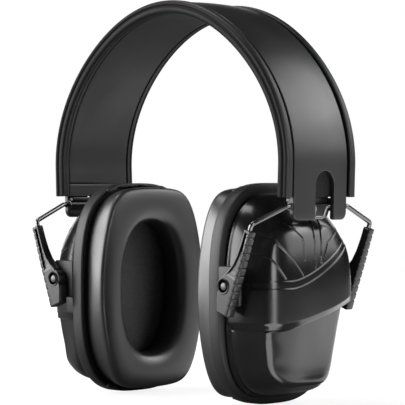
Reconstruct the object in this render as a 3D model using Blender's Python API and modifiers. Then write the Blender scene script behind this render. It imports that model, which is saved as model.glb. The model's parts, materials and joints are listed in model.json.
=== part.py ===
"""Folding earmuff hearing protector: a padded headband with a hinged wire yoke at each end,
sliding arms on the yoke's legs, and two tilting ear cups with ring cushions.

Units are metres. +X is the wearer's side of the right-hand cup, -Y the front, +Z up.
The origin is under the middle of the object, on the plane that both cup rims stand on.
"""

import math

import bmesh
import bpy
from mathutils import Matrix, Vector

# Headband: polar radius of its outer face about a centre on the Z axis
BAND_CENTRE_Z = 0.1100
BAND_RADIUS = 0.07465
BAND_RADIUS_2 = -0.00030
BAND_RADIUS_4 = 0.00105
BAND_STRAIGHT_FROM = math.radians(93.0)
BAND_STEPS = 22
STRIP_END_Z = 0.0841
SLEEVE_END_Z = 0.0943
STRIP_END_X = 0.0752
STRIP_HALF_WIDTH = 0.0181
STRIP_FLANGE_HALF_WIDTH = 0.0213
STRIP_CROWN = 0.0004
CROWN_STEPS = 4
STRIP_FLANGE_DEPTH = 0.0014
STRIP_THICKNESS = 0.0026
SLEEVE_HALF_WIDTH = 0.0239
SLEEVE_THICKNESS = 0.0057
SLEEVE_SKIN = 0.0011
SLEEVE_LIP_INNER = 0.0192
SLEEVE_LIP_THICKNESS = 0.0011
SLEEVE_PROUD = 0.0002
SLEEVE_ROUND = 0.0008
FOAM_HALF_WIDTH = 0.0223
FIT_GAP = 0.0003

# Fold hinge at each end of the strip
AXLE_X = 0.0732
AXLE_Z = 0.0903
AXLE_BORE_RADIUS = 0.0013
HINGE_BLOCK_INNER_X = 0.0695
HINGE_BLOCK_OUTER_X = 0.0740
HINGE_BLOCK_TOP_Z = 0.0938
SLOT_CENTRE_Y = 0.0023
SLOT_HALF_WIDTH = 0.0063
SLOT_TOP_Z = 0.1062
BRIDGE_OUTER_X = 0.0711
BRIDGE_BOTTOM_Z = 0.0919
STRIP_CORNER = 0.0035
CUT_INNER_X = 0.0660
CUT_OUTER_X = 0.0790
CUT_MARGIN = 0.0020
ARC_STEPS = 12
HAIR = 0.00002

# Yoke wire, in a plane that leans in from the axle
WIRE_RADIUS = 0.0011
YOKE_LEAN = math.radians(20.0)
LEG_Y = 0.0406
LEG_END = 0.0420
SHOULDER = 0.0083
AXLE_CORNER_Y = 0.0206
CRANK_HALF_WIDTH = 0.0036
CRANK_DEPTH = 0.0052
WIRE_BEND_RADIUS = 0.0022
CRANK_BEND_RADIUS = 0.0014

# Arms on the yoke's legs
ARM_INNER_Y = 0.0383
ARM_OUTER_Y = 0.0430
ARM_TOP = 0.0110
ARM_BOTTOM = 0.0512
ARM_OUTER_EDGE = 0.0023
LEG_BORE_RADIUS = 0.0013
LEG_BORE_END = 0.0445
ARM_BEVEL = 0.0004
BORE_SEGMENTS = 24
PIN_STEPS = 16
PIN_CHAMFER = 0.0003
BOSS_STEPS = 8
BOSS_FROM = math.radians(-150)
BOSS_TO = math.radians(-40)

# Cup tilt pivots
PIVOT_X = 0.0558
PIVOT_Z = 0.0552
PIVOT_BOSS_RADIUS = 0.0043
PIN_RADIUS = 0.0017
PIN_BORE_RADIUS = 0.0019
PIN_HEAD_RADIUS = 0.0023
PIN_HEAD_THICKNESS = 0.0010
PIN_HEAD_POCKET_RADIUS = 0.0025
PIN_OUTER_Y = 0.0432
PIN_HEAD_GAP = 0.0002
PIN_INNER_Y = 0.0360

# Ear cups
CUP_Z = 0.0504
CUP_EXPONENT = 3.0
CUP_STEPS = 32
BASE_HALF_Y = 0.0378
BASE_HALF_Z = 0.0504
BASE_INNER_X = 0.0418
BASE_FLOOR_X = 0.0462
BASE_OUTER_X = 0.0482
BASE_WALL = 0.0016
BASE_OPENING_HALF_Y = 0.0250
BASE_OPENING_HALF_Z = 0.0376
BASE_EDGE = 0.0006
BLOCK_INNER_Y = 0.0356
BLOCK_OUTER_Y = 0.0380
BLOCK_OUTER_X = 0.0606
BLOCK_BOTTOM_Z = 0.0462
BLOCK_TOP_Z = 0.0640
SHELL_WALL = 0.0022
LINER_HALF_Y = 0.0236
LINER_HALF_Z = 0.0362
LINER_INNER_X = 0.0460
LINER_OUTER_X = 0.0600
LINER_EDGE = 0.0015

# Ear cushions
CUSHION_HALF_Y = 0.0347
CUSHION_HALF_Z = 0.0484
EAR_HALF_Y = 0.0206
EAR_HALF_Z = 0.0335
EAR_EXPONENT = 2.4
CUSHION_FACE_X = 0.0300
CUSHION_BACK_X = 0.0432
PLATE_INNER_X = 0.0435
PLATE_OUTER_X = 0.0459
PLATE_HALF_Y = 0.0356
PLATE_HALF_Z = 0.0481
PLATE_HOLE_HALF_Y = 0.0218
PLATE_HOLE_HALF_Z = 0.0347

# Ring sections of the cup shell: distance out, half width, half height, centre height
SHELL_RINGS = (
    (0.0487, 0.0343, 0.0466, 0.0498),
    (0.0520, 0.0343, 0.0466, 0.0498),
    (0.0570, 0.0334, 0.0446, 0.0488),
    (0.0620, 0.0320, 0.0415, 0.0477),
    (0.0665, 0.0299, 0.0374, 0.0468),
    (0.0700, 0.0268, 0.0322, 0.0463),
    (0.0722, 0.0226, 0.0262, 0.0461),
    (0.0732, 0.0170, 0.0192, 0.0460),
    (0.0736, 0.0090, 0.0102, 0.0460),
)

# Cushion section: share of the way from the ear hole to the outer edge, and distance out
CUSHION_SKIN_SECTION = (
    (1.000, 0.0432),
    (1.000, 0.0368),
    (0.985, 0.0340),
    (0.930, 0.0316),
    (0.840, 0.0304),
    (0.700, 0.0300),
    (0.380, 0.0300),
    (0.180, 0.0309),
    (0.060, 0.0326),
    (0.000, 0.0356),
    (0.000, 0.0432),
    (0.070, 0.0432),
    (0.070, 0.0360),
    (0.120, 0.0335),
    (0.220, 0.0320),
    (0.390, 0.0313),
    (0.630, 0.0311),
    (0.800, 0.0314),
    (0.880, 0.0323),
    (0.925, 0.0344),
    (0.930, 0.0370),
    (0.930, 0.0432),
)
CUSHION_FOAM_SECTION = (
    (0.905, 0.0430),
    (0.905, 0.0370),
    (0.895, 0.0348),
    (0.860, 0.0328),
    (0.790, 0.0318),
    (0.630, 0.0315),
    (0.395, 0.0317),
    (0.235, 0.0324),
    (0.145, 0.0338),
    (0.095, 0.0362),
    (0.095, 0.0430),
)

# Arm outline: distance down the leg and distance out from the wire's plane
ARM_OUTLINE = (
    (0.0110, -0.0019),
    (0.0170, -0.0019),
    (0.0230, -0.0022),
    (0.0280, -0.0031),
    (0.0320, -0.0049),
)
ARM_FOOT = (
    (0.0440, -0.0073),
    (0.0512, -0.0048),
    (0.0512, 0.0024),
    (0.0400, 0.0024),
    (0.0250, 0.0023),
    (0.0110, 0.0022),
)

CUP_NODES = (
    "front_pin",
    "rear_pin",
    "cup_base",
    "cup_shell",
    "cup_liner",
    "cushion_plate",
    "cushion_foam",
    "cushion_skin",
)

MATERIALS = {
    "band_plastic": ((0.018, 0.018, 0.019), 0.45, 0.0),
    "leatherette": ((0.015, 0.015, 0.016), 0.40, 0.0),
    "foam": ((0.060, 0.060, 0.064), 0.95, 0.0),
    "steel_wire": ((0.22, 0.22, 0.23), 0.30, 1.0),
    "arm_plastic": ((0.030, 0.030, 0.032), 0.35, 0.0),
    "shell_plastic": ((0.010, 0.010, 0.011), 0.15, 0.0),
    "base_plastic": ((0.022, 0.022, 0.023), 0.40, 0.0),
}


def reset_scene():
    for obj in list(bpy.data.objects):
        bpy.data.objects.remove(obj, do_unlink=True)


def new_collection(name):
    collection = bpy.data.collections.new(name)
    bpy.context.scene.collection.children.link(collection)
    return collection


def material_for(node, kind):
    color, roughness, metallic = MATERIALS[kind]
    material = bpy.data.materials.new(node)
    material.use_nodes = True
    shader = material.node_tree.nodes["Principled BSDF"]
    shader.inputs["Base Color"].default_value = (*color, 1.0)
    shader.inputs["Roughness"].default_value = roughness
    shader.inputs["Metallic"].default_value = metallic
    material.diffuse_color = (*color, 1.0)
    return material


def mesh_object(name, mesh, collection):
    obj = bpy.data.objects.new(name, mesh)
    collection.objects.link(obj)
    return obj


def as_cutter(obj):
    obj.hide_render = True
    obj.display_type = "WIRE"
    return obj


def as_part(obj, kind, smooth=True):
    obj.data.materials.append(material_for(obj.name, kind))
    if smooth:
        for polygon in obj.data.polygons:
            polygon.use_smooth = True
    return obj


def finish_mesh(name, bm, collection):
    bmesh.ops.recalc_face_normals(bm, faces=bm.faces)
    mesh = bpy.data.meshes.new(name)
    bm.to_mesh(mesh)
    bm.free()
    return mesh_object(name, mesh, collection)


def loft(name, rings, collection, ends="caps"):
    """A skin through rings of equal count. ends is caps, joined (last to first) or open."""
    bm = bmesh.new()
    loops = [[bm.verts.new(point) for point in ring] for ring in rings]
    pairs = list(zip(loops, loops[1:]))
    if ends == "joined":
        pairs.append((loops[-1], loops[0]))
    for first, second in pairs:
        for i in range(len(first)):
            j = (i + 1) % len(first)
            bm.faces.new((first[i], first[j], second[j], second[i]))
    if ends == "caps":
        bm.faces.new(loops[0])
    if ends in ("caps", "last"):
        bm.faces.new(loops[-1])
    return finish_mesh(name, bm, collection)


def prism(name, outline, low_y, high_y, place, collection):
    """A plate with this outline between two levels of Y. place turns an outline point to X and Z."""
    rings = []
    for y in (low_y, high_y):
        rings.append([])
        for point in outline:
            x, z = place(*point)
            rings[-1].append((x, y, z))
    return loft(name, rings, collection)


def box(name, low, high, collection):
    low, high = Vector(low), Vector(high)
    bm = bmesh.new()
    bmesh.ops.create_cube(bm, size=1.0)
    bmesh.ops.scale(bm, vec=high - low, verts=bm.verts)
    bmesh.ops.translate(bm, vec=(high + low) / 2, verts=bm.verts)
    return finish_mesh(name, bm, collection)


def rod(name, start, end, radius, collection, segments=BORE_SEGMENTS):
    start, end = Vector(start), Vector(end)
    bm = bmesh.new()
    bmesh.ops.create_cone(
        bm,
        cap_ends=True,
        segments=segments,
        radius1=radius,
        radius2=radius,
        depth=(end - start).length,
    )
    turn = Vector((0, 0, 1)).rotation_difference(end - start).to_matrix().to_4x4()
    bmesh.ops.transform(bm, matrix=Matrix.Translation((start + end) / 2) @ turn, verts=bm.verts)
    return finish_mesh(name, bm, collection)


def boolean(obj, other, operation="DIFFERENCE"):
    modifier = obj.modifiers.new(other.name, "BOOLEAN")
    modifier.operation = operation
    modifier.solver = "EXACT"
    modifier.object = other


def superellipse(half_y, half_z, exponent, steps):
    points = []
    for i in range(steps):
        angle = 2 * math.pi * i / steps
        c, s = math.cos(angle), math.sin(angle)
        y = math.copysign(abs(c) ** (2 / exponent), c) * half_y
        z = math.copysign(abs(s) ** (2 / exponent), s) * half_z
        points.append((y, z))
    return points


def cup_ring(side, x, half_y, half_z, centre_z=CUP_Z, exponent=CUP_EXPONENT):
    outline = superellipse(half_y, half_z, exponent, CUP_STEPS)
    return [(side * x, y, centre_z + z) for y, z in outline]


def band_path():
    """Outer face of the headband from the left end over the top to the right end."""

    def at(angle):
        r = BAND_RADIUS + BAND_RADIUS_2 * math.cos(2 * angle) + BAND_RADIUS_4 * math.cos(4 * angle)
        return Vector((r * math.sin(angle), 0, BAND_CENTRE_Z + r * math.cos(angle)))

    half = [at(BAND_STRAIGHT_FROM * i / BAND_STEPS) for i in range(BAND_STEPS + 1)]
    last = half[-1]
    end = Vector((STRIP_END_X, 0, STRIP_END_Z))
    for z in (SLEEVE_END_Z, SLEEVE_END_Z - FIT_GAP, AXLE_Z, STRIP_END_Z):
        half.append(last.lerp(end, (last.z - z) / (last.z - end.z)))
    mirrored = [Vector((-p.x, 0, p.z)) for p in reversed(half[1:])]
    return mirrored + half


def normals_of(path):
    """Unit vectors out of the headband, square to its path."""
    found = []
    for i in range(len(path)):
        along = path[min(i + 1, len(path) - 1)] - path[max(i - 1, 0)]
        found.append(Vector((-along.z, 0, along.x)).normalized())
    return found


def band_rings(path, section_at):
    """One ring of points for each place on the path. A section is (Y, depth) pairs."""
    rings = []
    for point, out in zip(path, normals_of(path)):
        rings.append([point - out * depth + Vector((0, y, 0)) for y, depth in section_at(point)])
    return rings


def strip_section(point):
    w, f = STRIP_HALF_WIDTH, STRIP_FLANGE_HALF_WIDTH
    if point.z < SLEEVE_END_Z - HAIR:
        f = w + HAIR
    shares = [k / CROWN_STEPS for k in range(-CROWN_STEPS, CROWN_STEPS + 1)]
    crowned = [(w * share, -STRIP_CROWN * (1 - share**2)) for share in shares]
    right = [(w, STRIP_FLANGE_DEPTH), (f, STRIP_FLANGE_DEPTH + HAIR), (f, STRIP_THICKNESS)]
    return crowned + right + [(-y, depth) for y, depth in reversed(right)]


def sleeve_section(_point):
    w, t, s = SLEEVE_HALF_WIDTH, SLEEVE_THICKNESS, SLEEVE_SKIN
    lip, k = SLEEVE_LIP_INNER, SLEEVE_LIP_THICKNESS
    r, p = SLEEVE_ROUND, SLEEVE_PROUD
    right = [(lip, k), (lip, p), (lip + 2 * p, -p), (w - r, -p)]
    right += [(w, r), (w, t - 2 * r), (w - 2 * r, t)]
    left = [(-y, depth) for y, depth in reversed(right)]
    inner = [(-w + s, k), (-w + s, t - 2 * r), (-w + s + r, t - s)]
    inner += [(w - s - r, t - s), (w - s, t - 2 * r), (w - s, k)]
    return right + left + inner


def foam_section(_point):
    low = STRIP_THICKNESS + FIT_GAP
    high = SLEEVE_THICKNESS - SLEEVE_SKIN - FIT_GAP
    w, r = FOAM_HALF_WIDTH, SLEEVE_ROUND
    right = [(w, low), (w, high - r), (w - r, high)]
    return right + [(-y, depth) for y, depth in reversed(right)]


def slot_outline():
    """Y and Z of the slot in the strip's end: open at the bottom, round at the top."""
    y, r = SLOT_CENTRE_Y, SLOT_HALF_WIDTH
    centre_z = SLOT_TOP_Z - r
    arc = [math.pi * i / ARC_STEPS for i in range(ARC_STEPS + 1)]
    outline = [(y + r * math.cos(a), centre_z + r * math.sin(a)) for a in arc]
    below = STRIP_END_Z - CUT_MARGIN
    return outline + [(y - r, below), (y + r, below)]


def corner_outline(end):
    """Y and Z of what a rounded bottom corner of the strip takes away."""
    edge = end * STRIP_HALF_WIDTH
    outside = edge + end * CUT_MARGIN
    below = STRIP_END_Z - CUT_MARGIN
    outline = [(outside, below), (outside, STRIP_END_Z + STRIP_CORNER)]
    for i in range(ARC_STEPS // 2 + 1):
        angle = math.pi * i / ARC_STEPS
        y = edge - end * STRIP_CORNER * (1 - math.cos(angle)) + end * HAIR
        z = STRIP_END_Z + STRIP_CORNER * (1 - math.sin(angle)) - HAIR
        outline.append((y, z))
    return outline + [(edge - end * STRIP_CORNER, below)]


def cut_through_end(strip, side, name, outline, cutters):
    """Cuts this outline in Y and Z through the strip's end and its hinge block."""
    rings = [[(side * x, y, z) for y, z in outline] for x in (CUT_INNER_X, CUT_OUTER_X)]
    boolean(strip, as_cutter(loft(name, rings, cutters)))


def make_strip_end(strip, side, word, cutters):
    low_x, high_x = sorted((side * HINGE_BLOCK_INNER_X, side * HINGE_BLOCK_OUTER_X))
    block = box(
        f"{word}_hinge_block",
        (low_x, -STRIP_HALF_WIDTH, STRIP_END_Z),
        (high_x, STRIP_HALF_WIDTH, HINGE_BLOCK_TOP_Z),
        cutters,
    )
    boolean(strip, as_cutter(block), "UNION")
    cut_through_end(strip, side, f"{word}_slot", slot_outline(), cutters)
    low_x, high_x = sorted((side * HINGE_BLOCK_INNER_X, side * BRIDGE_OUTER_X))
    reach = SLOT_HALF_WIDTH + CUT_MARGIN
    bridge = box(
        f"{word}_hinge_bridge",
        (low_x, SLOT_CENTRE_Y - reach, BRIDGE_BOTTOM_Z),
        (high_x, SLOT_CENTRE_Y + reach, HINGE_BLOCK_TOP_Z),
        cutters,
    )
    boolean(strip, as_cutter(bridge), "UNION")
    for end, spot in ((-1, "front"), (1, "rear")):
        cut_through_end(strip, side, f"{word}_{spot}_corner", corner_outline(end), cutters)
    bore = rod(
        f"{word}_axle_bore",
        (side * AXLE_X, -SLEEVE_HALF_WIDTH, AXLE_Z),
        (side * AXLE_X, SLEEVE_HALF_WIDTH, AXLE_Z),
        AXLE_BORE_RADIUS,
        cutters,
    )
    boolean(strip, as_cutter(bore))


def make_headband(parts, cutters):
    path = band_path()
    strip = loft("headband_strip", band_rings(path, strip_section), parts)
    for side, word in ((-1, "left"), (1, "right")):
        make_strip_end(strip, side, word, cutters)
    as_part(strip, "band_plastic")
    covered = [p for p in path if p.z > SLEEVE_END_Z - HAIR]
    as_part(loft("headband_sleeve", band_rings(covered, sleeve_section), parts), "leatherette")
    as_part(loft("headband_foam", band_rings(covered, foam_section), parts), "foam")


def yoke_point(side, down, out, y):
    """A point by its distance down the leg and out of the wire's plane."""
    x = AXLE_X - down * math.sin(YOKE_LEAN) + out * math.cos(YOKE_LEAN)
    z = AXLE_Z - down * math.cos(YOKE_LEAN) - out * math.sin(YOKE_LEAN)
    return (side * x, y, z)


def rounded(corners, steps=5):
    """Corners are (down, Y, bend radius). Each bend becomes an arc."""
    path = [corners[0][:2]]
    for before, corner, after in zip(corners, corners[1:], corners[2:]):
        here = Vector(corner[:2])
        back = (Vector(before[:2]) - here).normalized()
        ahead = (Vector(after[:2]) - here).normalized()
        turn = math.pi - back.angle(ahead)
        reach = corner[2] * math.tan(turn / 2)
        middle = here + (back + ahead).normalized() * corner[2] / math.cos(turn / 2)
        start = (here + back * reach - middle).normalized()
        end = (here + ahead * reach - middle).normalized()
        for i in range(steps + 1):
            path.append(tuple(middle + start.slerp(end, i / steps) * corner[2]))
    path.append(corners[-1][:2])
    return path


def half_yoke(end):
    """Corners from a leg's end to the middle of the crank, which sits in the slot."""
    crank_y = SLOT_CENTRE_Y + end * CRANK_HALF_WIDTH
    return [
        (LEG_END, end * LEG_Y, 0),
        (SHOULDER, end * LEG_Y, WIRE_BEND_RADIUS),
        (0, end * AXLE_CORNER_Y, WIRE_BEND_RADIUS),
        (0, crank_y, CRANK_BEND_RADIUS),
        (CRANK_DEPTH, crank_y, CRANK_BEND_RADIUS),
    ]


def make_yoke_wire(side, word, parts):
    curve = bpy.data.curves.new(f"{word}_yoke_wire", "CURVE")
    curve.dimensions = "3D"
    curve.bevel_depth = WIRE_RADIUS
    curve.bevel_resolution = 2
    curve.use_fill_caps = True
    corners = rounded(half_yoke(1) + half_yoke(-1)[::-1])
    points = [yoke_point(side, down, 0, y) for down, y in corners]
    spline = curve.splines.new("POLY")
    spline.points.add(len(points) - 1)
    for target, point in zip(spline.points, points):
        target.co = (*point, 1.0)
    curve.materials.append(material_for(f"{word}_yoke_wire", "steel_wire"))
    mesh_object(f"{word}_yoke_wire", curve, parts)


def make_arm(side, end, name, parts, cutters):
    """One arm: a plate with a boss for the pivot pin and a blind bore for the wire leg."""
    pin_down = (AXLE_X - PIVOT_X) * math.sin(YOKE_LEAN) + (AXLE_Z - PIVOT_Z) * math.cos(YOKE_LEAN)
    pin_out = (PIVOT_X - AXLE_X) * math.cos(YOKE_LEAN) + (AXLE_Z - PIVOT_Z) * math.sin(YOKE_LEAN)
    outline = list(ARM_OUTLINE)
    for i in range(BOSS_STEPS + 1):
        angle = BOSS_FROM + (BOSS_TO - BOSS_FROM) * i / BOSS_STEPS
        outline.append(
            (
                pin_down + PIVOT_BOSS_RADIUS * math.cos(angle),
                pin_out + PIVOT_BOSS_RADIUS * math.sin(angle),
            )
        )
    outline += list(ARM_FOOT)

    def place(down, out):
        x, _, z = yoke_point(side, down, out, 0)
        return x, z

    low, high = sorted((end * ARM_INNER_Y, end * ARM_OUTER_Y))
    arm = prism(name, outline, low, high, place, parts)
    bevel = arm.modifiers.new("Bevel", "BEVEL")
    bevel.width = ARM_BEVEL
    bevel.segments = 2
    bevel.limit_method = "ANGLE"
    bevel.angle_limit = math.radians(60)
    leg_bore = rod(
        f"{name}_leg_bore",
        yoke_point(side, ARM_TOP - CUT_MARGIN, 0, end * LEG_Y),
        yoke_point(side, LEG_BORE_END, 0, end * LEG_Y),
        LEG_BORE_RADIUS,
        cutters,
    )
    boolean(arm, as_cutter(leg_bore))
    pin_bore = rod(
        f"{name}_pin_bore",
        (side * PIVOT_X, end * (ARM_INNER_Y - CUT_MARGIN), PIVOT_Z),
        (side * PIVOT_X, end * (ARM_OUTER_Y + CUT_MARGIN), PIVOT_Z),
        PIN_BORE_RADIUS,
        cutters,
    )
    boolean(arm, as_cutter(pin_bore))
    pocket = rod(
        f"{name}_pin_pocket",
        (side * PIVOT_X, end * (PIN_OUTER_Y - PIN_HEAD_THICKNESS - PIN_HEAD_GAP), PIVOT_Z),
        (side * PIVOT_X, end * (ARM_OUTER_Y + CUT_MARGIN), PIVOT_Z),
        PIN_HEAD_POCKET_RADIUS,
        cutters,
    )
    boolean(arm, as_cutter(pocket))
    as_part(arm, "arm_plastic", smooth=False)


def make_pin(side, end, name, parts):
    """A turned pin, its axis along Y, with a shallow head at its outer end."""
    length = PIN_OUTER_Y - PIN_INNER_Y
    neck = length - PIN_HEAD_THICKNESS
    profile = [
        (0, length),
        (PIN_HEAD_RADIUS - PIN_CHAMFER, length),
        (PIN_HEAD_RADIUS, length - PIN_CHAMFER),
        (PIN_HEAD_RADIUS, neck),
        (PIN_RADIUS, neck),
        (PIN_RADIUS, 0),
        (0, 0),
    ]
    mesh = bpy.data.meshes.new(name)
    edges = [(i, i + 1) for i in range(len(profile) - 1)]
    mesh.from_pydata([(r, 0, z) for r, z in profile], edges, [])
    pin = mesh_object(name, mesh, parts)
    pin.location = (side * PIVOT_X, end * PIN_INNER_Y, PIVOT_Z)
    pin.rotation_euler = (math.radians(-90 * end), 0, 0)
    screw = pin.modifiers.new("Screw", "SCREW")
    screw.axis = "Z"
    screw.steps = PIN_STEPS
    screw.render_steps = PIN_STEPS
    screw.use_merge_vertices = True
    screw.merge_threshold = 0.00001
    screw.use_smooth_shade = False
    mesh.materials.append(material_for(name, "arm_plastic"))


def make_base(side, word, parts, cutters):
    """The tray behind the cushion, with a lug on each side for the pivot pins."""
    section = (
        (0, BASE_INNER_X),
        (0, BASE_OUTER_X - BASE_EDGE),
        (BASE_EDGE, BASE_OUTER_X),
        (None, BASE_OUTER_X),
        (None, BASE_FLOOR_X),
        (BASE_WALL, BASE_FLOOR_X),
        (BASE_WALL, BASE_INNER_X),
    )
    rings = []
    for inset, x in section:
        if inset is None:
            rings.append(cup_ring(side, x, BASE_OPENING_HALF_Y, BASE_OPENING_HALF_Z))
        else:
            rings.append(cup_ring(side, x, BASE_HALF_Y - inset, BASE_HALF_Z - inset))
    base = loft(f"{word}_cup_base", rings, parts, ends="joined")
    for end, spot in ((-1, "front"), (1, "rear")):
        low_y, high_y = sorted((end * BLOCK_INNER_Y, end * BLOCK_OUTER_Y))
        low_x, high_x = sorted((side * (BASE_OUTER_X - BASE_EDGE), side * BLOCK_OUTER_X))
        lug = box(
            f"{word}_{spot}_lug",
            (low_x, low_y, BLOCK_BOTTOM_Z),
            (high_x, high_y, BLOCK_TOP_Z),
            cutters,
        )
        boolean(base, as_cutter(lug), "UNION")
        bore = rod(
            f"{word}_{spot}_lug_bore",
            (side * PIVOT_X, end * (BLOCK_INNER_Y - CUT_MARGIN), PIVOT_Z),
            (side * PIVOT_X, end * (BLOCK_OUTER_Y + CUT_MARGIN), PIVOT_Z),
            PIN_BORE_RADIUS,
            cutters,
        )
        boolean(base, as_cutter(bore))
    as_part(base, "base_plastic", smooth=False)


def make_shell(side, word, parts):
    rings = [cup_ring(side, x, y, z, centre) for x, y, z, centre in SHELL_RINGS]
    shell = loft(f"{word}_cup_shell", rings, parts, ends="last")
    solidify = shell.modifiers.new("Solidify", "SOLIDIFY")
    solidify.thickness = SHELL_WALL
    solidify.offset = -1.0
    solidify.use_even_offset = True
    as_part(shell, "shell_plastic")


def make_liner(side, word, parts):
    e = LINER_EDGE
    rings = [
        cup_ring(side, LINER_INNER_X, LINER_HALF_Y, LINER_HALF_Z),
        cup_ring(side, LINER_OUTER_X - e, LINER_HALF_Y, LINER_HALF_Z),
        cup_ring(side, LINER_OUTER_X, LINER_HALF_Y - e, LINER_HALF_Z - e),
    ]
    as_part(loft(f"{word}_cup_liner", rings, parts), "foam", smooth=False)


def cushion_rings(side, section):
    outer = superellipse(CUSHION_HALF_Y, CUSHION_HALF_Z, CUP_EXPONENT, CUP_STEPS)
    hole = superellipse(EAR_HALF_Y, EAR_HALF_Z, EAR_EXPONENT, CUP_STEPS)
    rings = []
    for share, x in section:
        ring = []
        for (oy, oz), (hy, hz) in zip(outer, hole):
            y, z = hy + (oy - hy) * share, hz + (oz - hz) * share
            ring.append((side * x, y, CUP_Z + z))
        rings.append(ring)
    return rings


def make_cushion(side, word, parts):
    skin = loft(
        f"{word}_cushion_skin", cushion_rings(side, CUSHION_SKIN_SECTION), parts, "joined"
    )
    as_part(skin, "leatherette")
    foam = loft(
        f"{word}_cushion_foam", cushion_rings(side, CUSHION_FOAM_SECTION), parts, "joined"
    )
    as_part(foam, "foam")
    rings = [
        cup_ring(side, PLATE_INNER_X, PLATE_HALF_Y, PLATE_HALF_Z),
        cup_ring(side, PLATE_OUTER_X, PLATE_HALF_Y, PLATE_HALF_Z),
        cup_ring(side, PLATE_OUTER_X, PLATE_HOLE_HALF_Y, PLATE_HOLE_HALF_Z, exponent=EAR_EXPONENT),
        cup_ring(side, PLATE_INNER_X, PLATE_HOLE_HALF_Y, PLATE_HOLE_HALF_Z, exponent=EAR_EXPONENT),
    ]
    plate = loft(f"{word}_cushion_plate", rings, parts, ends="joined")
    as_part(plate, "base_plastic", smooth=False)


def axis_empty(name, location, parent, collection):
    """An empty on a joint's axis, which carries what that joint moves."""
    empty = bpy.data.objects.new(name, None)
    empty.empty_display_size = 0.01
    empty.location = Vector(location) - (parent.matrix_world.translation if parent else Vector())
    empty.parent = parent
    collection.objects.link(empty)
    bpy.context.view_layer.update()
    return empty


def carry(empty, names):
    """Parents these objects to the empty and leaves them where they are."""
    for name in names:
        obj = bpy.data.objects[name]
        obj.parent = empty
        obj.matrix_parent_inverse = empty.matrix_world.inverted()


def make_joint_axes(side, word, collection):
    fold = axis_empty(f"{word}_fold_axis", (side * AXLE_X, 0, AXLE_Z), None, collection)
    slide = axis_empty(f"{word}_slide_axis", yoke_point(side, ARM_TOP, 0, 0), fold, collection)
    tilt = axis_empty(f"{word}_tilt_axis", (side * PIVOT_X, 0, PIVOT_Z), slide, collection)
    carry(fold, [f"{word}_yoke_wire"])
    carry(slide, [f"{word}_front_arm", f"{word}_rear_arm"])
    carry(tilt, [f"{word}_{name}" for name in CUP_NODES])


def build():
    reset_scene()
    parts = new_collection("earmuff")
    cutters = new_collection("cutters")
    make_headband(parts, cutters)
    for side, word in ((-1, "left"), (1, "right")):
        make_yoke_wire(side, word, parts)
        for end, spot in ((-1, "front"), (1, "rear")):
            make_arm(side, end, f"{word}_{spot}_arm", parts, cutters)
            make_pin(side, end, f"{word}_{spot}_pin", parts)
        make_base(side, word, parts, cutters)
        make_shell(side, word, parts)
        make_liner(side, word, parts)
        make_cushion(side, word, parts)
        make_joint_axes(side, word, parts)


build()
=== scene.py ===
"""Looks of the folding earmuff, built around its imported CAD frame. Metres, +Z up, -Y the front."""

import json
import math

import bmesh
import bpy
import numpy as np
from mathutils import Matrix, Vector

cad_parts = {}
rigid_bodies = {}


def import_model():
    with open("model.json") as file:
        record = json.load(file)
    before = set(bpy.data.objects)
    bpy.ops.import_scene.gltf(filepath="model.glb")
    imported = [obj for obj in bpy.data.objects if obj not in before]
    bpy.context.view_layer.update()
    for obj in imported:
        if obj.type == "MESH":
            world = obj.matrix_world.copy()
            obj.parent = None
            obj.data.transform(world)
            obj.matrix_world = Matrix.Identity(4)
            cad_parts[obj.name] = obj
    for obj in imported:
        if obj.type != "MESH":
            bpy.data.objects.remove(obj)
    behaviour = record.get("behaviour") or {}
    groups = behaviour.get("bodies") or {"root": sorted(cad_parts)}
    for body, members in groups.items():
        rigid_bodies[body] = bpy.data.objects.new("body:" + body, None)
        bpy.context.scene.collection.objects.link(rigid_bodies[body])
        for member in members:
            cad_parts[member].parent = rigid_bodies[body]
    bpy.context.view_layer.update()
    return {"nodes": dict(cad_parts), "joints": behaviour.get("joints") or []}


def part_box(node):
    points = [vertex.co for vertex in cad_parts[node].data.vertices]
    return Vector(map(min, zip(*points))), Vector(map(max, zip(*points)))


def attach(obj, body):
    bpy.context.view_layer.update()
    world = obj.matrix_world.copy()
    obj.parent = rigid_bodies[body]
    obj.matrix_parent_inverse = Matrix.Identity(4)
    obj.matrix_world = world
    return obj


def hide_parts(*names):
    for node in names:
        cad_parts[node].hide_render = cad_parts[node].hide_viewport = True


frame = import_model()

MM = 0.001
SIDES = (("left", -1), ("right", 1))
ENDS = (("front", -1), ("rear", 1))

# Joint axes and the space of each CAD part
JOINTS = {joint["name"]: joint for joint in frame["joints"]}
AXLE_X = JOINTS["right_fold"]["pos_m"][0]
AXLE_Z = JOINTS["right_fold"]["pos_m"][2]
PIVOT_X = JOINTS["right_tilt"]["pos_m"][0]
PIVOT_Z = JOINTS["right_tilt"]["pos_m"][2]
LEAN = math.atan2(JOINTS["right_slide"]["axis"][0], JOINTS["right_slide"]["axis"][2])
BASE_LOW, BASE_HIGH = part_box("right_cup_base")
SLEEVE_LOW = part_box("headband_sleeve")[0]
STRIP_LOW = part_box("headband_strip")[0]

# Headband
BAND_CENTRE_Z = 110.0 * MM
BAND_RADII = (74.65 * MM, -0.30 * MM, 1.05 * MM)
BAND_STRAIGHT_FROM = math.radians(93.0)
STRIP_END_X = 75.2 * MM
STRIP_HALF_WIDTH = 18.1 * MM
STRIP_CROWN = 0.4 * MM
STRIP_THICKNESS = 2.5 * MM
STRIP_EDGE_DROP = 0.4 * MM
SLOT_CENTRE_Y = 2.3 * MM
SLOT_HALF_WIDTH = 6.3 * MM
SLOT_LENGTH = 22.1 * MM
STRIP_CORNER = 3.5 * MM
BLOCK_INNER_X = 69.5 * MM
BRIDGE_OUTER_X = 71.1 * MM
BRIDGE_BOTTOM_Z = 91.9 * MM

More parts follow.
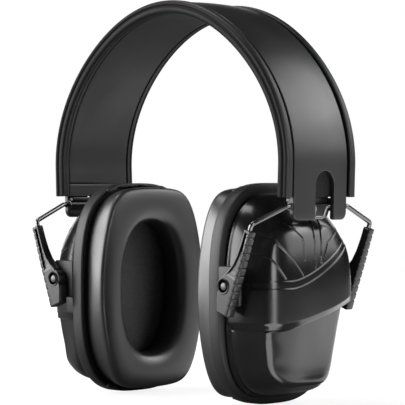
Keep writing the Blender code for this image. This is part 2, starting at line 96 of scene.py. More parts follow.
# Cups
CUP_Z = (BASE_LOW.z + BASE_HIGH.z) / 2
CUP_EXPONENT = 3.0
EAR_EXPONENT = 2.4


# ---------------------------------------------------------------- helpers


def smoothstep(low, high, value):
    t = np.clip((value - low) / (high - low), 0.0, 1.0)
    return t * t * (3.0 - 2.0 * t)


def collection_of(name):
    found = bpy.data.collections.get(name) or bpy.data.collections.new(name)
    if name not in bpy.context.scene.collection.children:
        bpy.context.scene.collection.children.link(found)
    return found


PIECES = collection_of("looks")


def new_object(name, mesh):
    obj = bpy.data.objects.new(name, mesh)
    PIECES.objects.link(obj)
    return obj


def mesh_object(name, points, faces, smooth=True, sharp=None):
    mesh = bpy.data.meshes.new(name)
    mesh.from_pydata([tuple(p) for p in points], [], faces)
    bm = bmesh.new()
    bm.from_mesh(mesh)
    bmesh.ops.remove_doubles(bm, verts=bm.verts, dist=1e-6)
    bmesh.ops.recalc_face_normals(bm, faces=bm.faces)
    bm.to_mesh(mesh)
    bm.free()
    if smooth:
        mesh.shade_smooth()
    if sharp is not None:
        mesh.set_sharp_from_angle(angle=math.radians(sharp))
    return new_object(name, mesh)


def loft_faces(rows, columns, around=True, joined=False, first=0):
    faces = []
    for i in range(rows if joined else rows - 1):
        a, b = first + i * columns, first + ((i + 1) % rows) * columns
        for j in range(columns if around else columns - 1):
            k = (j + 1) % columns
            faces.append((a + j, a + k, b + k, b + j))
    return faces


def loft(name, rings, joined=False, caps=(True, True), **look):
    """A skin through rings of equal count, each ring closed."""
    rings = np.asarray(rings, float)
    rows, columns = rings.shape[:2]
    faces = loft_faces(rows, columns, joined=joined)
    if not joined:
        if caps[0]:
            faces.append(tuple(range(columns)))
        if caps[1]:
            faces.append(tuple((rows - 1) * columns + j for j in range(columns)))
    return mesh_object(name, rings.reshape(-1, 3), faces, **look)


def evaluated_mesh(obj):
    graph = bpy.context.evaluated_depsgraph_get()
    return bpy.data.meshes.new_from_object(obj.evaluated_get(graph), depsgraph=graph)


def apply_modifiers(obj):
    mesh = evaluated_mesh(obj)
    obj.modifiers.clear()
    old, obj.data = obj.data, mesh
    mesh.name = old.name
    return obj


def joined(name, objects):
    """One object from several. Their materials stay."""
    bm = bmesh.new()
    for obj in objects:
        mesh = obj.data.copy()
        mesh.transform(obj.matrix_world)
        bm.from_mesh(mesh)
        bpy.data.meshes.remove(mesh)
    mesh = bpy.data.meshes.new(name)
    bm.to_mesh(mesh)
    bm.free()
    for obj in objects:
        bpy.data.objects.remove(obj)
    return new_object(name, mesh)


def box_mesh(name, low, high, bevel, segments=3):
    low, high = Vector(low), Vector(high)
    bm = bmesh.new()
    bmesh.ops.create_cube(bm, size=1.0)
    bmesh.ops.scale(bm, vec=high - low, verts=bm.verts)
    bmesh.ops.translate(bm, vec=(high + low) / 2, verts=bm.verts)
    bmesh.ops.bevel(
        bm, geom=bm.edges[:], offset=bevel, segments=segments, affect="EDGES", profile=0.5
    )
    mesh = bpy.data.meshes.new(name)
    bm.to_mesh(mesh)
    bm.free()
    mesh.shade_smooth()
    mesh.set_sharp_from_angle(angle=math.radians(50))
    return new_object(name, mesh)


def smooth_loop(points, rounds=2):
    """A closed outline with its corners cut back, which keeps straight runs straight."""
    points = np.asarray(points, float)
    for _ in range(rounds):
        after = np.roll(points, -1, axis=0)
        points = np.stack([0.75 * points + 0.25 * after, 0.25 * points + 0.75 * after], 1)
        points = points.reshape(-1, points.shape[-1])
    return points


def superellipse(half_y, half_z, exponent, steps):
    """An outline of evenly spread points, as an array of Y and Z."""
    angle = np.linspace(0, 2 * math.pi, 4000, endpoint=False)
    c, s = np.cos(angle), np.sin(angle)
    y = np.sign(c) * np.abs(c) ** (2 / exponent) * half_y
    z = np.sign(s) * np.abs(s) ** (2 / exponent) * half_z
    closed = np.stack([np.append(y, y[0]), np.append(z, z[0])], 1)
    length = np.append(0, np.cumsum(np.hypot(*np.diff(closed, axis=0).T)))
    at = np.linspace(0, length[-1], steps, endpoint=False)
    return np.stack([np.interp(at, length, closed[:, 0]), np.interp(at, length, closed[:, 1])], 1)


def cup_rings(side, profile, steps, exponent=CUP_EXPONENT):
    """Rings from a profile of (distance out, half width, half height, centre height)."""
    rings = []
    for x, half_y, half_z, centre_z in profile:
        outline = superellipse(half_y, half_z, exponent, steps)
        rings.append(
            np.column_stack([np.full(steps, side * x), outline[:, 0], centre_z + outline[:, 1]])
        )
    return rings


def turned(name, profile, centre, direction, steps=48, sharp=35):
    """A turned piece. profile is (radius, distance along direction)."""
    axis = Vector(direction).normalized()
    across = axis.orthogonal().normalized()
    other = axis.cross(across)
    rings = []
    for radius, along in profile:
        radius = max(radius, 1e-6)
        angles = np.linspace(0, 2 * math.pi, steps, endpoint=False)
        rings.append(
            [
                Vector(centre) + axis * along + (across * math.cos(a) + other * math.sin(a)) * radius
                for a in angles
            ]
        )
    return loft(name, rings, sharp=sharp)


# ---------------------------------------------------------------- materials


def node(tree, kind, **values):
    made = tree.nodes.new(kind)
    for key, value in values.items():
        setattr(made, key, value)
    return made


def principled(name, color, roughness, metallic=0.0, **sockets):
    material = bpy.data.materials.new(name)
    material.use_nodes = True
    shader = material.node_tree.nodes["Principled BSDF"]
    shader.inputs["Base Color"].default_value = (*color, 1.0)
    shader.inputs["Roughness"].default_value = roughness
    shader.inputs["Metallic"].default_value = metallic
    for key, value in sockets.items():
        shader.inputs[key.replace("_", " ")].default_value = value
    return material, material.node_tree, shader


def texture(tree, kind, scale, **values):
    coordinates = node(tree, "ShaderNodeTexCoord")
    made = node(tree, kind, **{k: v for k, v in values.items() if isinstance(v, str)})
    tree.links.new(coordinates.outputs["Object"], made.inputs["Vector"])
    made.inputs["Scale"].default_value = scale
    for key, value in values.items():
        if not isinstance(value, str):
            made.inputs[key.replace("_", " ")].default_value = value
    return made


def ramp(tree, source, low, high, from_low=0.0, from_high=1.0):
    made = node(tree, "ShaderNodeMapRange")
    tree.links.new(source, made.inputs["Value"])
    made.inputs["From Min"].default_value = from_low
    made.inputs["From Max"].default_value = from_high
    made.inputs["To Min"].default_value = low
    made.inputs["To Max"].default_value = high
    return made.outputs["Result"]


def mixed(tree, factor, first, second):
    made = node(tree, "ShaderNodeMix", data_type="RGBA")
    tree.links.new(factor, made.inputs["Factor"])
    made.inputs["A"].default_value = (*first, 1.0)
    made.inputs["B"].default_value = (*second, 1.0)
    return made.outputs["Result"]


def bump(tree, shader, height, strength, distance, before=None):
    made = node(tree, "ShaderNodeBump")
    made.inputs["Strength"].default_value = strength
    made.inputs["Distance"].default_value = distance
    tree.links.new(height, made.inputs["Height"])
    if before is not None:
        tree.links.new(before, made.inputs["Normal"])
    tree.links.new(made.outputs["Normal"], shader.inputs["Normal"])
    return made.outputs["Normal"]


def dull_edges(tree, shader, specular):
    """Less sheen on walls that face the front or rear, where a cloth binding is turned over them."""
    place = node(tree, "ShaderNodeTexCoord")
    parts = node(tree, "ShaderNodeSeparateXYZ")
    tree.links.new(place.outputs["Normal"], parts.inputs[0])
    size = node(tree, "ShaderNodeMath", operation="ABSOLUTE")
    tree.links.new(parts.outputs["Y"], size.inputs[0])
    sheen = ramp(tree, size.outputs[0], specular, 0.06, 0.55, 0.85)
    tree.links.new(sheen, shader.inputs["Specular IOR Level"])


def leatherette_material(name, color, roughness, cell, depth, specular=0.45, dull=False):
    """Pebbled synthetic leather: rounded cells with soft valleys, and slow changes of sheen."""
    material, tree, shader = principled(name, color, roughness, Specular_IOR_Level=specular)
    if dull:
        dull_edges(tree, shader, specular)
    cells = texture(tree, "ShaderNodeTexVoronoi", 1 / cell, feature="F1", Randomness=1.0)
    slow = texture(tree, "ShaderNodeTexNoise", 35.0, Detail=3.0)
    fine = texture(tree, "ShaderNodeTexNoise", 2600.0, Detail=2.0)
    tree.links.new(
        ramp(tree, slow.outputs["Fac"], roughness - 0.06, roughness + 0.07, 0.3, 0.7),
        shader.inputs["Roughness"],
    )
    lighter = tuple(c * 1.35 for c in color)
    tree.links.new(mixed(tree, slow.outputs["Fac"], color, lighter), shader.inputs["Base Color"])
    first = bump(tree, shader, cells.outputs["Distance"], 0.35, depth)
    bump(tree, shader, fine.outputs["Fac"], 0.12, depth, before=first)
    return material


def moulded_material(name, color, roughness, grain, depth, specular=0.5, spread=0.06):
    """Moulded plastic: fine spark grain, with faint flow marks and handling wear in its gloss."""
    material, tree, shader = principled(name, color, roughness, Specular_IOR_Level=specular)
    fine = texture(tree, "ShaderNodeTexNoise", 1 / grain, Detail=4.0, Roughness=0.65)
    slow = texture(tree, "ShaderNodeTexNoise", 28.0, Detail=4.0)
    tree.links.new(
        ramp(tree, slow.outputs["Fac"], roughness - spread, roughness + spread, 0.3, 0.7),
        shader.inputs["Roughness"],
    )
    lighter = tuple(c * 1.3 for c in color)
    tree.links.new(mixed(tree, slow.outputs["Fac"], color, lighter), shader.inputs["Base Color"])
    bump(tree, shader, fine.outputs["Fac"], 0.3, depth)
    return material


def gloss_material(name, color, roughness):
    """Polished plastic under a clear coat, with hairline scuffs and a little dust in its gloss."""
    material, tree, shader = principled(
        name, color, roughness, Specular_IOR_Level=0.36, Coat_Weight=0.08, Coat_Roughness=0.12
    )
    slow = texture(tree, "ShaderNodeTexNoise", 40.0, Detail=5.0)
    scuffs = texture(tree, "ShaderNodeTexNoise", 420.0, Detail=6.0, Roughness=0.7)
    tree.links.new(
        ramp(tree, slow.outputs["Fac"], roughness - 0.04, roughness + 0.08, 0.3, 0.75),
        shader.inputs["Roughness"],
    )
    lighter = tuple(c * 1.5 for c in color)
    tree.links.new(mixed(tree, scuffs.outputs["Fac"], color, lighter), shader.inputs["Base Color"])
    bump(tree, shader, slow.outputs["Fac"], 0.04, 0.15 * MM)
    return material


def metal_material(name, color, roughness):
    """Drawn steel wire: darkened, with fine draw marks."""
    material, tree, shader = principled(name, color, roughness, metallic=1.0)
    marks = texture(tree, "ShaderNodeTexNoise", 900.0, Detail=5.0, Roughness=0.7)
    slow = texture(tree, "ShaderNodeTexNoise", 60.0, Detail=2.0)
    tree.links.new(
        ramp(tree, slow.outputs["Fac"], roughness - 0.06, roughness + 0.1, 0.3, 0.7),
        shader.inputs["Roughness"],
    )
    darker = tuple(c * 0.6 for c in color)
    tree.links.new(mixed(tree, slow.outputs["Fac"], darker, color), shader.inputs["Base Color"])
    bump(tree, shader, marks.outputs["Fac"], 0.15, 0.05 * MM)
    return material


def foam_material(name, color):
    """Open-cell foam: small pits with painted shade darkening their insides, no gloss."""
    material, tree, shader = principled(name, color, 0.95, Specular_IOR_Level=0.15)
    cells = texture(tree, "ShaderNodeTexVoronoi", 1400.0, feature="F1")
    slow = texture(tree, "ShaderNodeTexNoise", 90.0, Detail=4.0)
    darker = tuple(c * 0.55 for c in color)
    # Painted shade: the colour darkens towards the middle of each pit, where the bump sinks deepest.
    tree.links.new(mixed(tree, cells.outputs["Distance"], darker, color), shader.inputs["Base Color"])
    first = bump(tree, shader, cells.outputs["Distance"], 0.8, 0.3 * MM)
    bump(tree, shader, slow.outputs["Fac"], 0.3, 0.5 * MM, before=first)
    return material


MATERIALS = {
    "band": moulded_material("band_grain", (0.008, 0.008, 0.0083), 0.36, 0.00055, 0.08 * MM, 0.42),
    "sleeve": leatherette_material(
        "sleeve_leatherette", (0.007, 0.007, 0.0072), 0.46, 0.0008, 0.06 * MM, 0.32, dull=True
    ),
    "cushion": leatherette_material(
        "cushion_leatherette", (0.012, 0.012, 0.0123), 0.37, 0.0007, 0.025 * MM, specular=0.6
    ),
    "shell": gloss_material("shell_gloss", (0.0035, 0.0035, 0.0038), 0.20),
    "base": moulded_material("base_satin", (0.009, 0.009, 0.0093), 0.48, 0.0004, 0.05 * MM, 0.28),
    "lug": moulded_material("lug_satin", (0.004, 0.004, 0.0042), 0.40, 0.0004, 0.04 * MM, 0.15),
    "arm": moulded_material("arm_gloss", (0.004, 0.004, 0.0042), 0.28, 0.0004, 0.02 * MM, 0.36),
    "wire": metal_material("yoke_steel", (0.16, 0.16, 0.165), 0.22),
    "foam": foam_material("acoustic_foam", (0.10, 0.10, 0.10)),
    "band_foam": foam_material("band_foam_dark", (0.016, 0.016, 0.0165)),
    "pin": moulded_material("pin_satin", (0.05, 0.05, 0.052), 0.30, 0.0004, 0.04 * MM),
}


def finish_piece(obj, material, body, slot, *replaced, second=None):
    obj.data.materials.clear()
    obj.data.materials.append(MATERIALS[material])
    if second:
        obj.data.materials.append(MATERIALS[second])
    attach(obj, body)
    if replaced:
        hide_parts(*replaced)
    return obj


# ---------------------------------------------------------------- headband


def band_curve():
    """Points of the band's outer face every half millimetre, from the left end to the right."""
    angle = np.linspace(0, BAND_STRAIGHT_FROM, 600)
    r = BAND_RADII[0] + BAND_RADII[1] * np.cos(2 * angle) + BAND_RADII[2] * np.cos(4 * angle)
    x, z = r * np.sin(angle), BAND_CENTRE_Z + r * np.cos(angle)
    straight = np.linspace(0, 1, 60)[1:]
    x = np.append(x, x[-1] + (STRIP_END_X - x[-1]) * straight)
    z = np.append(z, z[-1] + (STRIP_LOW.z - z[-1]) * straight)
    x, z = np.append(-x[:0:-1], x), np.append(z[:0:-1], z)
    length = np.append(0, np.cumsum(np.hypot(np.diff(x), np.diff(z))))
    return length, x, z


BAND_LENGTH, BAND_X, BAND_Z = band_curve()


def on_band(along, y, depth):
    """World points from distance along the band (0 at its top), Y and depth below its face."""
    along = np.asarray(along, float) + BAND_LENGTH[-1] / 2
    step = 0.4 * MM
    x, z = np.interp(along, BAND_LENGTH, BAND_X), np.interp(along, BAND_LENGTH, BAND_Z)
    low, high = np.clip(along - step, 0, BAND_LENGTH[-1]), np.clip(along + step, 0, BAND_LENGTH[-1])
    tx = np.interp(high, BAND_LENGTH, BAND_X) - np.interp(low, BAND_LENGTH, BAND_X)
    tz = np.interp(high, BAND_LENGTH, BAND_Z) - np.interp(low, BAND_LENGTH, BAND_Z)
    size = np.hypot(tx, tz)
    return np.stack([x + tz / size * depth, np.broadcast_to(y, x.shape), z - tx / size * depth], -1)


SLEEVE_LENGTH = BAND_LENGTH[-1] - 2 * (SLEEVE_LOW.z - STRIP_LOW.z)


def sleeve_section():
    """Half of the wrap's section as (Y, depth) in millimetres, from its lip to the middle."""
    half = [
        (19.3, 1.15),
        (19.3, 0.30),
        (19.9, -0.25),
        (21.2, -0.42),
        (22.8, -0.25),
        (23.8, 0.45),
        (23.9, 1.35),
        (23.55, 2.05),
        (23.15, 2.35),
        (23.55, 2.75),
        (23.95, 3.5),
        (23.85, 4.9),
        (23.2, 5.75),
        (22.5, 5.85),
        (22.05, 5.45),
        (21.6, 5.75),
        (20.5, 5.9),
        (19.9, 5.75),
        (19.55, 5.2),
        (19.15, 5.65),
        (18.3, 5.75),
        (14.0, 5.55),
        (7.0, 5.3),
    ]
    inner = [(7.0, 4.7), (14.0, 4.7), (20.8, 4.65), (22.4, 4.0), (22.7, 2.6), (22.7, 1.3)]
    left = [(-y, depth) for y, depth in reversed(half)]
    closing = [(-y, depth) for y, depth in reversed(inner)]
    return smooth_loop(np.array(half + left + closing + inner), 2) * MM


SEAM_FROM_END = 6.0 * MM


def make_sleeve():
    section = sleeve_section()
    half = SLEEVE_LENGTH / 2
    middle_part = np.linspace(-half + 9 * MM, half - 9 * MM, 140)
    end_part = np.arange(8.8, 0.0, -0.2) * MM
    along = np.concatenate([end_part[::-1] - half, middle_part, half - end_part])
    ends = [(half - 0.1 * MM, 0.25 * MM), (half, 0.7 * MM)]
    rings = []
    middle = np.array([0, 3.0 * MM])
    padded = (section[:, 1] > 5.0 * MM) & (np.abs(section[:, 0]) < 19.3 * MM)
    for s in along:
        from_end = half - abs(s)
        flat = 1 - smoothstep(SEAM_FROM_END - 0.3 * MM, SEAM_FROM_END + 0.3 * MM, from_end)
        seam = math.exp(-(((from_end - SEAM_FROM_END) / (0.35 * MM)) ** 2))
        depth = section[:, 1] - padded * (0.25 * flat + 0.3 * seam) * MM
        rings.append(on_band(np.full(len(section), s), section[:, 0], depth))
    for sign in (1, -1):
        for where, pull in ends:
            towards = middle - section
            size = np.linalg.norm(towards, axis=1, keepdims=True)
            shrunk = section + towards / size * pull * 0.6
            ring = on_band(np.full(len(section), sign * where), shrunk[:, 0], shrunk[:, 1])
            rings = rings + [ring] if sign > 0 else [ring] + rings
    sleeve = loft("headband_wrap", rings, sharp=60)
    finish_piece(sleeve, "sleeve", "headband", "leatherette", "headband_sleeve")


def arc(centre, radius, start, end, steps):
    angles = np.radians(np.linspace(start, end, steps))
    return [(centre[0] + radius * math.cos(a), centre[1] + radius * math.sin(a)) for a in angles]


def strip_outline():
    """The flat strip as (distance along, Y): rounded ends, each with a slot open at its end."""
    half, w, r = BAND_LENGTH[-1] / 2, STRIP_HALF_WIDTH, STRIP_CORNER
    slot, mouth, middle = SLOT_HALF_WIDTH, 1.2 * MM, SLOT_CENTRE_Y
    top = half - SLOT_LENGTH + slot
    end = [(half - r, w)] + arc((half - r, w - r), r, 90, 0, 9)
    end += arc((half - mouth, middle + slot + mouth), mouth, 0, -90, 6)
    end += arc((top, middle), slot, 90, 270, 21)
    end += arc((half - mouth, middle - slot - mouth), mouth, 90, 0, 6)
    end += arc((half - r, -w + r), r, 0, -90, 9)
    return end + [(-s, y) for s, y in reversed(end)]


def make_strip():
    """A flat plate with rounded edges, sliced finely along its length and bent over the band."""
    curve = bpy.data.curves.new("strip_flat", "CURVE")
    curve.dimensions = "2D"
    curve.fill_mode = "BOTH"
    edge = 0.45 * MM
    curve.extrude = STRIP_THICKNESS / 2 - edge
    curve.bevel_depth = edge
    curve.bevel_resolution = 2
    outline = strip_outline()
    spline = curve.splines.new("POLY")
    spline.points.add(len(outline) - 1)
    for point, (s, y) in zip(spline.points, outline):
        point.co = (s, y, 0, 1)
    spline.use_cyclic_u = True
    curve.offset = -edge
    flat = new_object("strip_flat", curve)
    bpy.context.view_layer.update()
    mesh = evaluated_mesh(flat)
    bpy.data.objects.remove(flat)
    bm = bmesh.new()
    bm.from_mesh(mesh)
    bmesh.ops.remove_doubles(bm, verts=bm.verts, dist=2e-6)
    half = BAND_LENGTH[-1] / 2
    for s in np.arange(-half + 2 * MM, half - 1 * MM, 2.2 * MM):
        geometry = bm.verts[:] + bm.edges[:] + bm.faces[:]
        bmesh.ops.bisect_plane(bm, geom=geometry, plane_co=(s, 0, 0), plane_no=(1, 0, 0), dist=1e-6)
    for y in np.linspace(-STRIP_HALF_WIDTH, STRIP_HALF_WIDTH, 10)[1:-1]:
        geometry = bm.verts[:] + bm.edges[:] + bm.faces[:]
        bmesh.ops.bisect_plane(bm, geom=geometry, plane_co=(0, y, 0), plane_no=(0, 1, 0), dist=1e-6)
    bmesh.ops.recalc_face_normals(bm, faces=bm.faces)
    bm.to_mesh(mesh)
    bm.free()
    flat = np.array([v.co for v in mesh.vertices])
    crown = STRIP_CROWN - (STRIP_CROWN + STRIP_EDGE_DROP) * (flat[:, 1] / STRIP_HALF_WIDTH) ** 2
    depth = STRIP_THICKNESS / 2 - flat[:, 2] - crown
    bent = on_band(flat[:, 0], flat[:, 1], depth)
    for vertex, point in zip(mesh.vertices, bent):
        vertex.co = point
    mesh.shade_smooth()
    mesh.set_sharp_from_angle(angle=math.radians(40))
    pieces = [new_object("strip_plate", mesh)]
    for _, side in SIDES:
        pieces += hinge_blocks(side)
    strip = joined("headband_outer_strip", pieces)
    finish_piece(strip, "band", "headband", "band_plastic", "headband_strip")


def hinge_blocks(side):
    """Behind each half of the strip's end: a barrel round the axle and a web up to the sleeve."""
    made = []
    for word, end in ENDS:
        low_y = SLOT_HALF_WIDTH + end * SLOT_CENTRE_Y + 0.1 * MM
        high_y = STRIP_HALF_WIDTH - 0.2 * MM
        barrel_radius = 2.2 * MM
        profile = [
            (1.32 * MM, low_y),
            (barrel_radius - 0.3 * MM, low_y),
            (barrel_radius, low_y + 0.3 * MM),
            (barrel_radius, high_y - 0.3 * MM),
            (barrel_radius - 0.3 * MM, high_y),
            (1.55 * MM, high_y),
            (1.32 * MM, high_y - 0.25 * MM),
        ]
        centre = (side * (AXLE_X - 0.6 * MM), 0, AXLE_Z)
        rings = []
        for radius, y in profile:
            points = [
                (centre[0] + radius * math.cos(a), end * y, centre[2] + radius * math.sin(a))
                for a in np.linspace(0, 2 * math.pi, 40, endpoint=False)
            ]
            if radius < 2 * MM:
                points = [(p[0] + side * 0.6 * MM, p[1], p[2]) for p in points]
            rings.append(points)
        made.append(loft(f"barrel_{word}", rings, joined=True, sharp=40))
        ys = sorted((end * (low_y + 0.2 * MM), end * (high_y - 0.6 * MM)))
        xs = sorted((side * (BLOCK_INNER_X + 0.2 * MM), side * (AXLE_X - 0.1 * MM)))
        made.append(
            box_mesh(
                f"web_{word}",
                (xs[0], ys[0], AXLE_Z + 1.6 * MM),
                (xs[1], ys[1], SLEEVE_LOW.z - 0.3 * MM),
                0.5 * MM,
            )
        )
        made.append(eyelet(side, end))
    low_x, high_x = sorted((side * BLOCK_INNER_X, side * BRIDGE_OUTER_X))
    reach = SLOT_HALF_WIDTH + 1.5 * MM
    low = (low_x, SLOT_CENTRE_Y - reach, BRIDGE_BOTTOM_Z - 0.6 * MM)
    high = (high_x, SLOT_CENTRE_Y + reach, SLEEVE_LOW.z + 0.7 * MM)
    made.append(box_mesh("bridge", low, high, 0.4 * MM))
    return made


def eyelet(side, end):
    """A raised ring round the axle where the wire leaves the strip."""
    face = STRIP_HALF_WIDTH - 0.3 * MM
    profile = [
        (1.25 * MM, face), (1.25 * MM, face + 0.75 * MM), (1.35 * MM, face + 1.0 * MM),
        (1.6 * MM, face + 1.0 * MM), (1.75 * MM, face + 0.75 * MM), (1.75 * MM, face),
    ]
    rings = []
    for radius, y in profile:
        angles = np.linspace(0, 2 * math.pi, 40, endpoint=False)
        x = side * (AXLE_X - 0.15 * MM) + radius * np.cos(angles)
        z = AXLE_Z + radius * np.sin(angles)
        rings.append(np.column_stack([x, np.full(40, end * y), z]))
    return loft("eyelet", rings, joined=True, sharp=40)


# ---------------------------------------------------------------- yokes and arms


def yoke_point(side, down, out, y):
    x = AXLE_X - down * math.sin(LEAN) + out * math.cos(LEAN)
    z = AXLE_Z - down * math.cos(LEAN) - out * math.sin(LEAN)
    return (side * x, y, z)


def rounded(corners, steps=10):
    """Corners are (down, Y, bend radius). Each bend becomes an arc."""
    path = [corners[0][:2]]
    for before, corner, after in zip(corners, corners[1:], corners[2:]):
        here = Vector(corner[:2])
        back = (Vector(before[:2]) - here).normalized()
        ahead = (Vector(after[:2]) - here).normalized()
        turn = math.pi - back.angle(ahead)
        reach = corner[2] * math.tan(turn / 2)
        middle = here + (back + ahead).normalized() * corner[2] / math.cos(turn / 2)
        start = (here + back * reach - middle).normalized()
        end = (here + ahead * reach - middle).normalized()
        for i in range(steps + 1):
            path.append(tuple(middle + start.slerp(end, i / steps) * corner[2]))
    path.append(corners[-1][:2])
    return path


LEG_Y = 40.6 * MM
WIRE_RADIUS = 1.1 * MM


def half_yoke(end):
    """Corners (down, Y, bend radius) from a leg's end to the crank that sits in the slot."""
    crank_y = SLOT_CENTRE_Y + end * 3.6 * MM
    return [
        (42.0 * MM, end * LEG_Y, 0),
        (8.3 * MM, end * LEG_Y, 2.2 * MM),
        (0, end * 20.6 * MM, 2.2 * MM),
        (0, crank_y, 1.4 * MM),
        (5.2 * MM, crank_y, 1.4 * MM),
    ]


def make_yoke(word, side):
    corners = half_yoke(1) + half_yoke(-1)[::-1]
    curve = bpy.data.curves.new(f"{word}_yoke", "CURVE")
    curve.dimensions = "3D"
    curve.bevel_depth = WIRE_RADIUS
    curve.bevel_resolution = 5
    curve.use_fill_caps = True
    points = [yoke_point(side, down, 0, y) for down, y in rounded(corners)]
    spline = curve.splines.new("POLY")
    spline.points.add(len(points) - 1)
    for target, point in zip(spline.points, points):
        target.co = (*point, 1.0)
    wire = meshed_curve(new_object(f"{word}_yoke_spring_wire", curve))
    finish_piece(wire, "wire", f"{word}_yoke", "steel_wire", f"{word}_yoke_wire")
    make_crank_key(word, side)


def make_crank_key(word, side):
    """A small plastic plate that fills the crank, so that the slot stays shut."""
    outline = superellipse(5.8 * MM, 3.2 * MM, 6.0, 64)
    rings = []
    for out, shrink in ((-0.75, 0.25), (-0.6, 0.0), (0.6, 0.0), (0.75, 0.25)):
        ring = outline * (1 - shrink / 3.4)
        rings.append(
            [yoke_point(side, 2.1 * MM - z, out * MM, SLOT_CENTRE_Y + y) for y, z in ring]
        )
    key = loft(f"{word}_crank_key", rings, sharp=40)
    finish_piece(key, "lug", f"{word}_yoke", "arm_plastic")


def meshed_curve(obj):
    """The object's curve as a mesh, in a new object of the same name."""
    bpy.context.view_layer.update()
    mesh = evaluated_mesh(obj)
    name = obj.name
    bpy.data.objects.remove(obj)
    bm = bmesh.new()
    bm.from_mesh(mesh)
    bmesh.ops.remove_doubles(bm, verts=bm.verts, dist=1e-6)
    bm.to_mesh(mesh)
    bm.free()
    mesh.shade_smooth()
    mesh.set_sharp_from_angle(angle=math.radians(60))
    return new_object(name, mesh)


# Arm edges in the wire's plane, in millimetres: distance down the leg and distance out
ARM_TOP, ARM_BOTTOM = 11.0, 51.2
ARM_INNER_EDGE = ((11.0, -1.9), (17.0, -1.9), (23.0, -2.2), (28.0, -3.1), (32.0, -4.9), (34.6, -6.6))
ARM_FOOT_EDGE = ((43.4, -7.4), (46.0, -6.7), (51.2, -4.8))
ARM_OUTER_EDGE = 2.35
BOSS_RADIUS = 4.3
PIN_RECESS_RADIUS = 2.75
ARM_Y = (38.3, 43.0)
GRIP_NOTCHES = 10
FIRST_NOTCH = 14.0
NOTCH_PITCH = 3.6


def pin_place():
    dx, dz = (AXLE_X - PIVOT_X) / MM, (AXLE_Z - PIVOT_Z) / MM
    down = dx * math.sin(LEAN) + dz * math.cos(LEAN)
    out = -dx * math.cos(LEAN) + dz * math.sin(LEAN)
    return down, out


def arm_inner_edge(down):
    """How far out of the wire's plane the arm's inner edge lies, in millimetres."""
    pin_down, pin_out = pin_place()
    edge = np.array(ARM_INNER_EDGE + ARM_FOOT_EDGE)
    along = np.interp(down, edge[:, 0], edge[:, 1])
    reach = BOSS_RADIUS**2 - (down - pin_down) ** 2
    boss = pin_out - math.sqrt(reach) if reach > 0 else 1.0
    return min(along, boss) if abs(down - pin_down) < BOSS_RADIUS else along


def arm_section(down):
    """One section of an arm, as (out, Y) in millimetres, Y growing away from the cup."""
    inner, outer = arm_inner_edge(down), ARM_OUTER_EDGE
    notch = 0.0
    for k in range(GRIP_NOTCHES):
        notch = max(notch, 1 - abs(down - (FIRST_NOTCH + NOTCH_PITCH * k)) / 0.55)
    outer -= 0.38 * min(1.0, 1.6 * max(0.0, notch))
    low, high = ARM_Y
    thin = 0.45 * (1 - smoothstep(12.0, 34.0, down))
    low, high = low + thin, high - thin
    r = 0.55
    hollow = 0.9 * smoothstep(12.2, 13.2, down) * (1 - smoothstep(31.0, 34.0, down))
    near, far = inner + 1.0, outer - 1.35
    far = max(far - 0.02 * max(0, down - 12), near + 0.3)
    return [
        (inner + r, low),
        (inner, low + r),
        (inner, high - r),
        (inner + 0.4 * r, high - 0.3 * r),
        (inner + r, high),
        (near, high),
        (near + 0.18, high - hollow),
        (far - 0.18, high - hollow),
        (far, high),
        (outer - r, high),
        (outer - 0.3 * r, high - 0.3 * r),
        (outer, high - r),
        (outer, (low + high) / 2),
        (outer, low + r),
        (outer - 0.3 * r, low + 0.3 * r),
        (outer - r, low),
    ]


